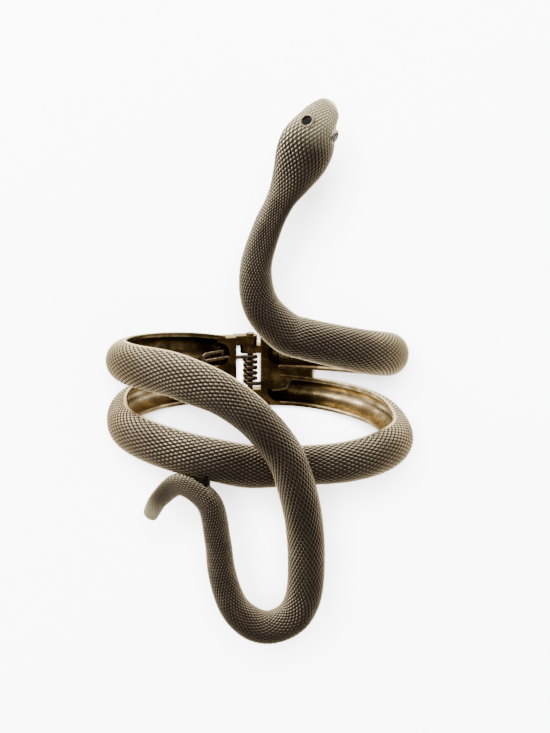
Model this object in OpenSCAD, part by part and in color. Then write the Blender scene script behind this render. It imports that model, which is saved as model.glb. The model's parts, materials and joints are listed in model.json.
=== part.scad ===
// Upper arm cuff: a snake wound round the arm, made of two castings on a sprung hinge.
// Millimetres. The cuff lies on its back, with the hinge at the floor. Z points up through the front,
// Y runs along the arm towards the head and X across the arm. A place on the cuff is given by its turn
// round the arm (0 front, 90 right, 180 hinge), its rise along the arm from the middle of the hinge,
// and its lift off the oval that touches the arm.

/* [Cuff] */
// Width of the cuff across the arm, outside
cuff_w = 86; // [80:1:94]
// Depth of the cuff from its back to the crown of the lower bands
cuff_d = 72; // [67:1:80]
// Squareness of the oval round the arm, 2 for an ellipse
oval_power = 2.4; // [2.1:0.1:2.7]
// Rise of the upper band on the left, at its highest
left_rise = 16.6; // [15:0.2:19]
// Rise of the upper band on the right, where the neck begins
right_rise = 26.2; // [24:0.5:30]
// Drop of the lower bands where they meet at the front
seam_drop = 9.2; // [7.2:0.2:10]
// Turn at which the lower bands meet, under the tail strand
seam_turn = 5; // [3:0.5:8]
// Gap between the ends of the lower bands
seam_gap = 0.9; // [0.8:0.1:1.2]

/* [Snake's body] */
// Width of the body along the bands
body_w = 11.5; // [10.5:0.25:12.5]
// Thickness of the body from its hollow side to its crown
body_t = 5.8; // [5.2:0.1:6.6]
// Thickness of the cast wall
wall = 1.3; // [1:0.1:1.6]
// Edge left where a channel closes into a rounded back
thin_edge = 0.15; // [0.1:0.05:0.2]
// Thickness of the lower bands where the tail strand crosses them
seam_t = 4.4; // [4:0.1:4.8]
// Clearance between the lower bands and the tail strand over them
cross_gap = 0.8; // [0.6:0.1:1.2]
// Reach of the tail loop below the middle of the hinge
loop_drop = 60; // [54:1:66]
// Half thickness of the cast bridge that joins the tail to the lower band
bridge_r = 1.8; // [1.4:0.1:2.1]
// Width of the bridge round the arm
bridge_w = 7.6; // [5:0.2:8]
// Length of the bridge along the arm
bridge_l = 5.4; // [5:0.1:7]
// Drop of the bridge below the middle of the hinge
bridge_drop = 13.5; // [13:0.1:14.2]
// Turn of the bridge round the arm
bridge_turn = -33; // [-34:1:-32]

/* [Head] */
// Reach of the snout above the middle of the hinge
head_reach = 89.8; // [84:0.2:98]
// Width of the head across the jaws
head_w = 14; // [12:0.5:16]
// Height of the head's crown over its widest line
head_t = 4.9; // [4:0.1:5.6]
// Width of the neck at its thinnest
neck_w = 7.3; // [6.5:0.1:8.5]
// Lift of the head off the arm
head_lift = 4; // [2:0.5:6]
// Roll of the head to the right
head_roll = 12; // [0:1:20]
// Turn of the eyes up from the jaws, seen along the head
eye_angle = 42; // [40:1:60]
// Turn of each eye's long axis from the head's line towards the middle of the snout
eye_turn = 26; // [15:1:32]
// Distance of the eyes from the snout
eye_back = 7.8; // [7:0.2:10]
// Length of an eye stone
eye_l = 2.7; // [2.3:0.1:3.2]
// Width of an eye stone
eye_w = 2.1; // [1.8:0.1:2.5]
// Thickness of an eye stone from its back to its table
eye_t = 1.3; // [1.1:0.1:1.6]
// Width of the raised rim round an eye stone
rim_w = 0.5; // [0.4:0.05:0.7]
// Clearance between an eye stone and its rim
eye_fit = 0.06; // [0.03:0.01:0.1]

/* [Hinge] */
// Length of the hinge along the arm, over its knuckles
hinge_h = 20.8; // [19.8:0.2:22]
// Width of each band where it leaves the hinge
hinge_band_w = 9.6; // [9:0.1:9.8]
// Opening between the two hinge blocks
block_gap = 7.2; // [6.8:0.1:8.2]
// Shift of that opening from the pin towards the left
gap_shift = 0.7; // [0.4:0.1:0.8]
// Length of a hinge block, away from the pin
block_l = 5.7; // [5.5:0.1:7]
// Thickness of a hinge block's end wall
end_wall = 1.9; // [1.6:0.1:2.1]
// Radius of a hinge block's outer edges
block_r = 2.2; // [1:0.1:2.8]
// Diameter of the knuckles
knuckle_d = 4; // [3.9:0.1:4.3]
// Clearance of the knuckles over the floor
knuckle_lift = 0.5; // [0.5:0.05:0.6]
// Reach of an inner knuckle past the pin
inner_reach = 3; // [2.2:0.1:3.1]
// Extra room for the coil's lower end
lower_room = 1; // [0:0.1:1.2]
// Length of the outer knuckles
outer_knuckle = 2.9; // [2.4:0.1:3]
// Length of the inner knuckles
inner_knuckle = 2.3; // [2:0.1:2.4]
// Clearance between two knuckles
knuckle_gap = 0.12; // [0.08:0.02:0.2]
// Diameter of the hinge pin
pin_d = 1.6; // [1.4:0.1:2]
// Clearance round the pin, on the radius
pin_fit = 0.06; // [0.03:0.01:0.1]
// Diameter of the pin's closed heads
pin_head_d = 2.4; // [2.2:0.1:3]
// Thickness of the pin's closed heads
pin_head_t = 0.45; // [0.3:0.05:0.8]
// Distance from the pin to the slot between upper and lower bands
slot_x = 19; // [17:0.2:22]

/* [Spring] */
// Diameter of the spring wire
wire_d = 1.15; // [0.9:0.05:1.2]
// Outside diameter of the coil
coil_d = 4.5; // [4.3:0.1:4.8]
// Clearance between an end of the coil and the inner knuckle beside it
coil_gap = 0.4; // [0.3:0.05:0.6]
// Number of turns in the coil
coils = 5; // [4:1:6]
// Length of the left spring leg, from the pin to the bend of its loop
leg_l = 14; // [12:0.5:15]
// Length of the right spring leg, from the pin to the bend of its loop
right_leg_l = 11; // [10:0.25:11.5]
// Width of a leg's loop, between the middles of its wires
leg_w = 2.1; // [1.8:0.1:2.6]
// Lean of the left leg towards the hinge's middle, as rise over run
leg_lean = 0.12; // [0.08:0.01:0.16]
// Lean of the right leg towards the hinge's middle, as rise over run
right_leg_lean = 0.15; // [0.1:0.01:0.18]
// Thickness of the cast lip over the right leg
lip_t = 0.9; // [0.7:0.05:1]
// Reach of a leg past the end wall before it leans and rises
leg_stub = 1.2; // [0.8:0.2:1.6]
// Clearance of a leg in the hole of the end wall, on the radius
leg_fit = 0.25; // [0.15:0.05:0.4]

/* [Sections] */
// Spacing of the sections along the bands
band_step = 4.4; // [3.6:0.2:6]
// Spacing of the sections along the neck, the head and the tail
curve_step = 3.6; // [3:0.2:5]

/* [Hidden] */
outer_n = 12;
inner_n = 6;
small = 0.01;
pin_z = knuckle_d / 2 + knuckle_lift;
wire_r = wire_d / 2;
coil_r = coil_d / 2 - wire_r;
coil_half = hinge_h / 2 - outer_knuckle - knuckle_gap - inner_knuckle - coil_gap - wire_r;
leg_z = pin_z + coil_r;
hinge_rise = (hinge_h - hinge_band_w) / 2;
slot_turn = 180 - asin(slot_x / (cuff_d / 2));
cross_lift = seam_t + cross_gap;
seam_share = seam_t / body_t;
seam_half = seam_gap / cuff_d * 180 / PI;
brass = [0.55, 0.46, 0.30];
dark_brass = [0.35, 0.29, 0.19];

// Tables of sections, one row for each section that the outline needs. The columns are:
//   turn   angle round the arm, in degrees
//   rise   share of the way from the strand's low rise to its high rise
//   lift   share of the strand's lift off the arm
//   width  share of the strand's width
//   depth  share of the strand's thickness
//   back   1 for an open channel on the arm's side, down to -1 for a fully round back
//   roll   share of the head's roll, in the neck and the head only
UPPER_LEFT = [
    [-170, 0.00, 0.00, 0.86, 0.97, 1.00],
    [-150, 0.12, 0.00, 0.98, 1.00, 1.00],
    [-125, 0.30, 0.00, 1.00, 1.00, 1.00],
    [-100, 0.53, 0.00, 1.00, 1.00, 1.00],
    [ -75, 0.81, 0.00, 1.03, 1.00, 1.00],
    [ -50, 0.94, 0.04, 1.08, 1.00, 1.00],
    [ -33, 0.81, 0.42, 1.08, 1.00, 1.00],
    [ -19, 0.52, 0.74, 0.98, 1.00, 1.00]
];
TAIL = [
    [ -5.7, -0.083, 1.00, 0.91, 1.00, 1.00],
    [  5.9,  0.083, 1.00, 0.91, 0.98, 1.00],
    [ 11.9, 0.275, 1.00, 0.92, 0.95, 0.90],
    [ 15.2, 0.475, 0.86, 0.90, 0.91, -0.25],
    [ 15.7, 0.685, 0.76, 0.88, 0.87, -0.80],
    [ 13.7, 0.795, 0.72, 0.86, 0.86, -0.86],
    [  8.8, 0.867, 0.69, 0.84, 0.85, -0.90],
    [ -0.3,  0.903, 0.68, 0.81, 0.82, -0.92],
    [ -9.2,  0.880, 0.66, 0.80, 0.78, -0.92],
    [-17.2,  0.795, 0.65, 0.72, 0.72, -0.92],
    [-22.0,  0.645, 0.62, 0.67, 0.66, -0.92],
    [-24.0,  0.480, 0.60, 0.63, 0.62, -0.92],
    [-27.8,  0.310, 0.56, 0.62, 0.57, -0.92],
    [-39.8,  0.236, 0.52, 0.54, 0.48, -0.92],
    [-49.6,  0.318, 0.48, 0.46, 0.40, -0.92],
    [-55.0,  0.410, 0.46, 0.39, 0.34, -0.92],
    [-56.1,  0.428, 0.46, 0.24, 0.21, -0.92]
];
LOWER_LEFT = [
    [-170,  0.00, 0, 0.84, 0.97, 1],
    [-150, -0.33, 0, 0.81, 1.00, 1],
    [-120, -0.46, 0, 0.90, 1.00, 1],
    [ -90, -0.24, 0, 1.00, 1.00, 1],
    [ -60, -0.29, 0, 1.06, 1.00, 1],
    [ -30,  0.38, 0, 1.06, 0.96, 1],
    [ -12,  0.90, 0, 1.08, seam_share + 0.03, 1],
    [seam_turn - seam_half, 1.00, 0, 1.03, seam_share, 1]
];
LOWER_RIGHT = [
    [ 170, 0.00, 0, 0.84, 0.97, 1],
    [ 150, 0.19, 0, 0.81, 1.00, 1],
    [ 120, 0.63, 0, 0.87, 1.00, 1],
    [  90, 1.10, 0, 1.00, 1.00, 1],
    [  60, 1.03, 0, 1.07, 1.00, 1],
    [  36, 1.08, 0, 1.01, 0.95, 1],
    [  18, 1.00, 0, 0.99, seam_share + 0.01, 1],
    [seam_turn + seam_half, 1.00, 0, 1.03, seam_share, 1]
];
UPPER_RIGHT = [
    [ 170, 0.00,  0.00, 0.86, 0.97, 1.00],
    [ 150, 0.02, -0.05, 0.93, 1.00, 1.00],
    [ 125, 0.08, -0.25, 0.98, 1.00, 1.00],
    [ 100, 0.26, -0.45, 1.04, 1.00, 1.00],
    [  76, 0.47, -0.40, 1.05, 1.00, 1.00],
    [  51, 0.69, -0.05, 1.05, 1.00, 1.00],
    [  33, 0.86,  0.00, 1.00, 1.00, 1.00],
    [  18, 0.99,  0.05, 0.98, 1.00, 1.00]
];
NECK = [
    [ 7.2, 0.316, 0.10, 1.51, 1.10, 0.90, 0.0],
    [-4.4, 0.398, 0.30, 1.35, 1.02, 0.40, 0.0],
    [-7.0, 0.508, 0.50, 1.16, 0.90, -0.50, 0.2],
    [-2.2, 0.626, 0.75, 1.05, 0.82, -0.85, 0.5],
    [ 3.8, 0.714, 0.90, 1.03, 0.84, -0.85, 0.8]
];
HEAD = [
    [ 8.3, 0.773, 1.00, 0.78, 0.94, -0.74, 1.0],
    [12.5, 0.832, 1.00, 1.06, 1.00, -0.70, 1.0],
    [15.8, 0.888, 0.97, 1.09, 1.00, -0.66, 1.0],
    [20.1, 0.940, 0.88, 0.80, 0.90, -0.66, 1.0],
    [24.5, 0.975, 0.78, 0.54, 0.70, -0.70, 1.0],
    [27.2, 0.992, 0.72, 0.33, 0.48, -0.70, 1.0]
];

// Profile of an eye's rim: rim widths added to the stone's oval, height as a share of the stone's thickness
EYE_RIM = [
    [3.0, -0.70],
    [2.6, 0.04],
    [1.0, 0.30]
];
// Profile of an eye's stone: share of its oval, height as a share of its thickness
STONE = [
    [0.7, -0.50],
    [1.0, -0.10],
    [1.0, 0.02],
    [0.6, 0.32]
];

function unit(v) = v / norm(v);
function signed_power(v, p) = sign(v) * pow(abs(v), p);

// Distance from the arm's axis to an oval of half width a and half depth b, at a turn
function oval_r(turn, a, b) =
    pow(pow(abs(sin(turn)) / a, oval_power) + pow(abs(cos(turn)) / b, oval_power), -1 / oval_power);

// Point at a turn, a rise and a lift
function place(turn, rise, lift) =
    let (r = oval_r(turn, cuff_w / 2 - body_t + lift, cuff_d / 2 - body_t + lift))
    [r * sin(turn), rise, cuff_d / 2 + r * cos(turn)];

// Direction straight out from the arm at a turn
function outward(turn) =
    let (
        a = cuff_w / 2 - body_t,
        b = cuff_d / 2 - body_t,
        p = place(turn, 0, 0) - [0, 0, cuff_d / 2],
        q = oval_power
    )
    unit([signed_power(p[0], q - 1) / pow(a, q), 0, signed_power(p[2], q - 1) / pow(b, q)]);

// Rows of a table in millimetres and degrees: the rise runs from low to high, the rest are shares
function sized(table, low, high, lift, width, depth) = [
    for (r = table)
        [r[0], low + (high - low) * r[1], lift * r[2], width * r[3], depth * r[4], r[5],
            len(r) > 6 ? head_roll * r[6] : 0]
];

// Row at any station u along a list of rows, on a smooth curve through them
function row_at(rows, u) =
    let (
        last = len(rows) - 1,
        i = min(floor(u), last - 1),
        f = u - i,
        p1 = rows[i],
        p2 = rows[i + 1],
        p0 = i > 0 ? rows[i - 1] : 2 * p1 - p2,
        p3 = i + 2 > last ? 2 * p2 - p1 : rows[i + 2]
    )
    (2 * p1 + (p2 - p0) * f + (2 * p0 - 5 * p1 + 4 * p2 - p3) * f * f
        + (3 * p1 - p0 - 3 * p2 + p3) * f * f * f) / 2;

function row_point(r) = place(r[0], r[1], r[2]);

// Frame at a station: point, direction along, direction out, direction across, row
function frame_at(rows, u) =
    let (
        r = row_at(rows, u),
        before = row_point(row_at(rows, max(u - small, 0))),
        after = row_point(row_at(rows, min(u + small, len(rows) - 1))),
        along = unit(after - before),
        level = unit(outward(r[0]) - along * (along * outward(r[0]))),
        out = level * cos(r[6]) + cross(along, level) * sin(r[6])
    )
    [row_point(r), along, out, cross(along, out), r];

// Section of a strand: the half-round outside, then the hollow or the rounded back
function section(frame) =
    let (
        across = frame[3],
        out = frame[2],
        half = frame[4][3] / 2,
        depth = frame[4][4],
        back = frame[4][5],
        inner_depth = back > 0 ? back * (depth - wall) : back * depth,
        rim = max(thin_edge, min(wall, 4 * wall * back))
    )
    concat(
        [for (i = [0:outer_n]) let (f = 180 * i / outer_n)
            frame[0] + across * half * cos(f) + out * depth * sin(f)],
        [for (i = [inner_n:-1:0]) let (f = 180 * i / inner_n)
            frame[0] + across * (half - rim) * cos(f) + out * inner_depth * sin(f)]
    );

// Station at a distance back along a list of rows from station u
function station_back(rows, distance, u) =
    distance <= 0
        ? u
        : station_back(rows, distance - norm(row_point(row_at(rows, u)) - row_point(row_at(rows, u - 0.1))),
            u - 0.1);

// Stations along a list of rows, spaced as evenly as the rows allow
function stations(rows, spacing) = [
    for (i = [0:len(rows) - 2])
        let (n = max(1, round(norm(row_point(rows[i + 1]) - row_point(rows[i])) / spacing)))
        each [for (k = [0:n - 1]) i + k / n],
    len(rows) - 1
];

function strand_sections(rows, spacing) =
    [for (u = stations(rows, spacing)) section(frame_at(rows, u))];

// Faces that close the end of a strand, from its outside to its hollow: two outer points to each inner one
strand_cap = let (inner = outer_n + 1 + inner_n)
    [for (k = [0:inner_n - 1]) each [
        [2 * k, 2 * k + 1, inner - k],
        [2 * k + 1, 2 * k + 2, inner - k - 1],
        [2 * k + 1, inner - k - 1, inner - k]
    ]];

// Solid through a list of sections with the same number of points each
module skin(sections, cap = undef) {
    m = len(sections[0]);
    last = len(sections) - 1;
    end = is_undef(cap) ? [[for (j = [0:m - 1]) j]] : cap;
    polyhedron(
        points = [for (s = sections) each s],
        faces = concat(
            [for (face = end) [for (j = [len(face) - 1:-1:0]) face[j]]],
            [for (face = end) [for (j = face) last * m + j]],
            [for (i = [0:last - 1], j = [0:m - 1])
                [i * m + j, i * m + (j + 1) % m, (i + 1) * m + (j + 1) % m]],
            [for (i = [0:last - 1], j = [0:m - 1])
                [i * m + j, (i + 1) * m + (j + 1) % m, (i + 1) * m + j]]
        )
    );
}

upper_left_rows = sized(UPPER_LEFT, hinge_rise, left_rise, cross_lift, body_w, body_t);
tail_rows = sized(TAIL, 0, -loop_drop, cross_lift, body_w, body_t);
lower_left_rows = sized(LOWER_LEFT, -hinge_rise, -seam_drop, 0, body_w, body_t);
lower_right_rows = sized(LOWER_RIGHT, -hinge_rise, -seam_drop, 0, body_w, body_t);
upper_right_rows = sized(UPPER_RIGHT, hinge_rise, right_rise, head_lift, body_w, body_t);
neck_rows = sized(NECK, 0, head_reach, head_lift, neck_w, head_t);
head_rows = sized(HEAD, 0, head_reach, head_lift, head_w, head_t);
tail_strand_rows = concat(upper_left_rows, tail_rows);
head_strand_rows = concat(upper_right_rows, neck_rows, head_rows);
tail_sections = strand_sections(tail_strand_rows, curve_step);
head_sections = strand_sections(head_strand_rows, curve_step);

// The origin is under the middle of the whole cuff, so the hinge lies off it along the arm
highest = max([for (s = head_sections, p = s) p[1]]);
lowest = min([for (s = tail_sections, p = s) p[1]]);
hinge_y = -(highest + lowest) / 2;

module strand(rows, spacing) {
    skin(strand_sections(rows, spacing), strand_cap);
}

// Bar along the arm between two rises, round the hinge pin
module along_pin(from, to, diameter) {
    translate([0, from, pin_z])
        rotate([-90, 0, 0])
            cylinder(h = to - from, d = diameter, $fn = 48);
}

// Distances of a block's two ends from the pin, on the left (-1) and the right (1)
function block_start(side) = block_gap / 2 - side * gap_shift;
function block_end(side) = block_start(side) + block_l;

// Hinge block of a side, drawn on the right, its inner face on the oval, its outer edges rounded
module block(side) {
    near = block_start(side);
    far = block_end(side);
    arc = [for (i = [0:4]) far + (near - far) * i / 4];
    intersection() {
        translate([0, hinge_h / 2, 0])
            rotate([90, 0, 0])
                linear_extrude(hinge_h)
                    polygon(concat(
                        [[near, 0], [far, 0]],
                        [for (x = arc) [x, inner_z(x)]]
                    ));
        rotate([90, 0, 90])
            linear_extrude(far + 1)
                union() {
                    for (end = [-1, 1])
                        translate([end * (hinge_h / 2 - block_r), block_r])
                            circle(block_r, $fn = 48);
                    translate([-hinge_h / 2, block_r])
                        square([hinge_h, body_t * 2]);
                    translate([block_r - hinge_h / 2, 0])
                        square([hinge_h - 2 * block_r, body_t]);
                }
    }
}

// Height of the oval's inside over the floor, at a distance x from the pin
function inner_z(x) =
    let (a = cuff_w / 2 - body_t, b = cuff_d / 2 - body_t)
    cuff_d / 2 - b * pow(1 - pow(x / a, oval_power), 1 / oval_power);

// Rounded ends of the two channels in a hinge block, drawn on the right
module channel_ends(side) {
    r = hinge_band_w / 2 - wall;
    for (end = [-1, 1])
        translate([block_start(side) + end_wall + r, end * hinge_rise, wall])
            intersection() {
                union() {
                    cylinder(h = 2 * body_t, r = r, $fn = 48);
                    translate([0, -r, 0])
                        cube([block_l, 2 * r, 2 * body_t]);
                }
                translate([-r, -r, 0])
                    cube([block_l - end_wall, 2 * r, 2 * body_t]);
            }
}

// Web that closes the wedge between an upper and a lower band, from the block to the slot
module web(upper_rows, lower_rows, side) {
    overlap = wall / 2;
    front = wall / 3;
    rear = wall * 1.7;
    from = 172;
    pieces = 8;
    skin([for (i = [0:pieces])
        let (
            turn = from + (slot_turn - from) * i / pieces,
            top = edge_at(upper_rows, turn, -1) + overlap,
            bottom = edge_at(lower_rows, turn, 1) - overlap,
            ends = side > 0 ? [bottom, top] : [top, bottom]
        )
        [
            place(side * turn, ends[0], front),
            place(side * turn, ends[1], front),
            place(side * turn, ends[1], rear),
            place(side * turn, ends[0], rear)
        ]
    ]);
}

// Rise of a band's upper (1) or lower (-1) edge at a turn on either side of the hinge
function edge_at(rows, turn, edge) =
    let (
        pairs = [for (k = [0:20]) let (r = row_at(rows, k / 10)) [-abs(r[0]), r[1] + edge * r[3] / 2]]
    )
    lookup(-turn, pairs);

// Outline of the lip over the right leg, seen from above: distances from the pin and rises
LEG_LIP = [
    [ 4.0, -1.6],
    [ 4.0, -5.5],
    [ 5.9, -5.4],
    [ 8.0, -5.1],
    [10.0, -4.5],
    [11.0, -3.8],
    [12.3, -2.7],
    [13.4, -1.9],
    [13.4, -1.6]
];

// Knuckles and their arms, drawn on the right, between two rises above and below the middle. The right
// side's reach past the pin.
module knuckles(side, from, to) {
    arm_h = knuckle_d * 0.8;
    past = side > 0 ? inner_reach - arm_h / 2 : 0;
    for (end = [-1, 1]) {
        low = end > 0 ? from : -min(to + lower_room, hinge_h / 2);
        high = end > 0 ? to : -from - lower_room;
        along_pin(low, high, knuckle_d);
        translate([-past, 0, 0])
            along_pin(low, high, arm_h);
        translate([-past, low, pin_z - arm_h / 2])
            cube([past + block_start(side) + small, high - low, arm_h]);
    }
}

// Cast lip that covers the right leg's upper wire, flush with the block's top
module leg_lip() {
    steps = [for (i = [0:8]) 4 + 10 * i / 8];
    intersection() {
        linear_extrude(2 * body_t)
            polygon(LEG_LIP);
        rotate([90, 0, 0])
            linear_extrude(hinge_h, center = true)
                polygon(concat(
                    [for (x = steps) [x, inner_z(x) - lip_t]],
                    [for (i = [8:-1:0]) [steps[i], inner_z(steps[i])]]
                ));
    }
}

// Hole for a spring leg through the end wall, drawn on the right
module leg_hole(side, rise) {
    translate([0, rise, leg_z])
        rotate([0, 90, 0])
            cylinder(h = block_start(side) + end_wall + wall, r = wire_r + leg_fit, $fn = 32);
}

// Shapes of the right side, or their mirror image on the left for side -1
module on_side(side) {
    mirror([side < 0 ? 1 : 0, 0, 0])
        children();
}

// A half with its hinge end: block, channels, knuckles and bores round what the bands bring
module hinged(side, knuckle_from, knuckle_to, leg_rise) {
    difference() {
        union() {
            children();
            on_side(side) block(side);
            on_side(side) knuckles(side, knuckle_from, knuckle_to);
        }
        on_side(side) channel_ends(side);
        on_side(side) leg_hole(side, leg_rise);
        along_pin(-hinge_h, hinge_h, pin_d + 2 * pin_fit);
    }
}

// Bridge between the tail and the lower band: a flat bar with round sides, along the arm
module bridge() {
    side = bridge_w / 2 - bridge_r;
    translate(place(bridge_turn, -bridge_drop, cross_lift * 0.4))
        rotate([90, -bridge_turn, 0])
            linear_extrude(bridge_l, center = true)
                union() {
                    for (x = [-side, side])
                        translate([x, 0])
                            circle(bridge_r, $fn = 24);
                    square([2 * side, 2 * bridge_r], center = true);
                }
}

module tail_half() {
    color(brass)
        translate([0, hinge_y, 0])
            hinged(-1, hinge_h / 2 - outer_knuckle, hinge_h / 2, coil_half) {
                strand(tail_strand_rows, curve_step);
                strand(lower_left_rows, band_step);
                web(upper_left_rows, lower_left_rows, -1);
                bridge();
            }
}

// Frame of an eye: the middle of the stone's seat, the direction along the head and the way out
function eye_frame(side) =
    let (
        f = frame_at(head_strand_rows, station_back(head_strand_rows, eye_back, len(head_strand_rows) - 1)),
        half = f[4][3] / 2,
        depth = f[4][4],
        angle = side > 0 ? eye_angle : 180 - eye_angle,
        out = unit(f[3] * cos(angle) / half + f[2] * sin(angle) / depth),
        ahead = unit(f[1] - out * (f[1] * out)),
        along = ahead * cos(eye_turn) + cross(out, ahead) * side * sin(eye_turn)
    )
    [f[0] + f[3] * half * cos(angle) + f[2] * depth * sin(angle), along, cross(out, along), out];

module at_eye(side) {
    e = eye_frame(side);
    multmatrix([
        [e[1][0], e[2][0], e[3][0], e[0][0]],
        [e[1][1], e[2][1], e[3][1], e[0][1]],
        [e[1][2], e[2][2], e[3][2], e[0][2]],
        [0, 0, 0, 1]
    ])
        children();
}

// Oval ring of points at a height
function oval_ring(length, width, height, n) =
    [for (i = [n - 1:-1:0]) let (f = 360 * (i + 0.5) / n)
        [length / 2 * cos(f), width / 2 * sin(f), height]];

// Raised rim of an eye, with its foot inside the head
module eye_rim() {
    n = 20;
    skin([for (r = EYE_RIM)
        oval_ring(eye_l + rim_w * r[0], eye_w + rim_w * r[0], eye_t * r[1], n)
    ]);
}

module eye_seat() {
    n = 10;
    skin([for (height = [-eye_t / 2 - eye_fit, eye_t])
        oval_ring(eye_l + 2 * eye_fit, eye_w + 2 * eye_fit, height, n)
    ]);
}

// Oval stone with a flat back, a girdle, ten crown facets and a table
module eye_stone() {
    n = 10;
    skin([for (r = STONE)
        oval_ring(eye_l * r[0], eye_w * r[0], eye_t * r[1], n)
    ]);
}

module head_half() {
    color(brass)
        translate([0, hinge_y, 0]) {
            leg_lip();
            difference() {
                hinged(
                    1,
                    hinge_h / 2 - outer_knuckle - knuckle_gap - inner_knuckle,
                    hinge_h / 2 - outer_knuckle - knuckle_gap,
                    -coil_half
                ) {
                    strand(head_strand_rows, curve_step);
                    strand(lower_right_rows, band_step);
                    web(upper_right_rows, lower_right_rows, 1);
                    for (side = [-1, 1])
                        at_eye(side) eye_rim();
                }
                for (side = [-1, 1])
                    at_eye(side) eye_seat();
            }
        }
}

module hinge_pin() {
    half = hinge_h / 2 + knuckle_gap / 2;
    color(dark_brass)
        translate([0, hinge_y, 0]) {
            along_pin(-half - pin_head_t, half + pin_head_t, pin_d);
            for (low = [-half - pin_head_t, half])
                along_pin(low, low + pin_head_t, pin_head_d);
        }
}

// Middle line of the spring: a looped leg on the left, the coil round the pin and a looped leg on the
// right. Each point is its x, its rise, its height over the floor and its angle round the pin.
bend_r = leg_w / 2;
bend_n = 6;
coil_n = 12;
left_leg = [for (p = loop_points(-1, leg_l, leg_lean)) [-p[0], p[1], leg_height(-1, p[0]), 0]];
right_points = loop_points(1, right_leg_l, right_leg_lean);
right_leg = [for (i = [len(right_points) - 1:-1:0])
    let (p = right_points[i]) [p[0], -p[1], leg_height(1, p[0]), 0]];
coil_path = [for (i = [0:coils * coil_n])
    let (turned = 360 * i / coil_n)
    [coil_r * sin(turned), coil_half * (1 - 2 * i / (coils * coil_n)), pin_z + coil_r * cos(turned), turned]];

// Distance from the pin at which a side's leg begins to lean and rise
function leg_end(side) = block_start(side) + end_wall + leg_stub;

// Distances from the pin and rises along a leg's loop, from its free end to the coil
function loop_points(side, reach, lean) =
    let (
        near = leg_end(side),
        points = concat(
            [[near, coil_half + leg_w]],
            [for (i = [0:bend_n]) let (f = 90 - 180 * i / bend_n)
                [reach - bend_r + bend_r * cos(f), coil_half + bend_r + bend_r * sin(f)]],
            [[near, coil_half]]
        )
    )
    [for (p = points) [p[0], p[1] - lean * max(0, p[0] - near)]];

// Height of a leg's middle over the floor: level up to the end wall, then rising with the channel
function leg_height(side, x) = leg_z + max(0, inner_z(x) - inner_z(leg_end(side)));

module hinge_spring() {
    path = concat(left_leg, coil_path, right_leg);
    points = [for (p = path) [p[0], p[1], p[2]]];
    last = len(path) - 1;
    color(dark_brass)
        translate([0, hinge_y, 0])
            skin([for (i = [0:last])
                let (
                    along = unit(points[min(i + 1, last)] - points[max(i - 1, 0)]),
                    radial = [sin(path[i][3]), 0, cos(path[i][3])],
                    out = unit(radial - along * (along * radial)),
                    across = cross(along, out)
                )
                [for (j = [0:7]) points[i] + wire_r * (across * cos(45 * j) + out * sin(45 * j))]
            ]);
}

module left_eye() {
    color([0.06, 0.05, 0.05])
        translate([0, hinge_y, 0])
            at_eye(-1) eye_stone();
}

module right_eye() {
    color([0.06, 0.05, 0.05])
        translate([0, hinge_y, 0])
            at_eye(1) eye_stone();
}

tail_half();
head_half();
hinge_pin();
hinge_spring();
left_eye();
right_eye();
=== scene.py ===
import json
import math

import bmesh
import bpy
import numpy as np
from mathutils import Matrix, Vector


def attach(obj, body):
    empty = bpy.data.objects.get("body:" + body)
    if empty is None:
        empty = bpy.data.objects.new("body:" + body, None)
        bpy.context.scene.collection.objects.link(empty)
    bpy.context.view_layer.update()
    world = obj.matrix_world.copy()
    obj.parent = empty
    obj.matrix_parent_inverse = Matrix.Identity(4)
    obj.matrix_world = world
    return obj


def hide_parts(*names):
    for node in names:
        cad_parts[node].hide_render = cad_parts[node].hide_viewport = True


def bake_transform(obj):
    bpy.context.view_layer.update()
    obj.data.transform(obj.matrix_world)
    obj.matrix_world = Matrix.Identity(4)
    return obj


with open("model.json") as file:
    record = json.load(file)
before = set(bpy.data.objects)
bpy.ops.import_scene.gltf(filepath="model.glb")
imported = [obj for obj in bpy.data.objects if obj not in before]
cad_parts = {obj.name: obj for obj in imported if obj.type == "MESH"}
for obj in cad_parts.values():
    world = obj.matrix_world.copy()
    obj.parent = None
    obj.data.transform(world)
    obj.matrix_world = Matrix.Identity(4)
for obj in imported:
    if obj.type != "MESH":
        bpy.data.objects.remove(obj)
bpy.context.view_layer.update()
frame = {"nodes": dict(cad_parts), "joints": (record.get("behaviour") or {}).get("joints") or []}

# Upper arm cuff: a snake wound round the arm, two castings on a sprung hinge.
# The cuff's own sizes below are in millimetres and are turned into metres as each mesh is made.
# A place on the cuff is its turn round the arm (0 front, 90 right, 180 hinge), its rise along the arm
# from the middle of the hinge, and its lift off the oval that touches the arm.
MM = 0.001
hinge_y = frame["joints"][0]["pos_m"][1] / MM
pin_z = frame["joints"][0]["pos_m"][2] / MM

# Cuff
CUFF_W = 86.0
CUFF_D = 72.0
OVAL_POWER = 2.4
LEFT_RISE = 16.6
RIGHT_RISE = 26.2
SEAM_DROP = 9.2
SEAM_TURN = 5.0
SEAM_GAP = 0.9

# Snake's body
BODY_W = 11.5
BODY_T = 5.8
WALL = 1.3
THIN_EDGE = 0.15
SEAM_T = 4.4
CROSS_LIFT = SEAM_T + 0.8
SEAM_SHARE = SEAM_T / BODY_T
SEAM_HALF = math.degrees(SEAM_GAP / CUFF_D)
LOOP_DROP = 60.0
BRIDGE_R = 1.8
BRIDGE_W = 7.6
BRIDGE_L = 5.4
BRIDGE_DROP = 13.5
BRIDGE_TURN = -33.0

# Head
HEAD_REACH = 89.8
HEAD_W = 14.0
HEAD_T = 4.9
NECK_W = 7.3
HEAD_LIFT = 4.0
HEAD_ROLL = 12.0
EYE_ANGLE = 42.0
EYE_TURN = 26.0
EYE_BACK = 7.8
EYE_L = 2.7
EYE_W = 2.1
EYE_T = 1.3
RIM_W = 0.5

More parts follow.
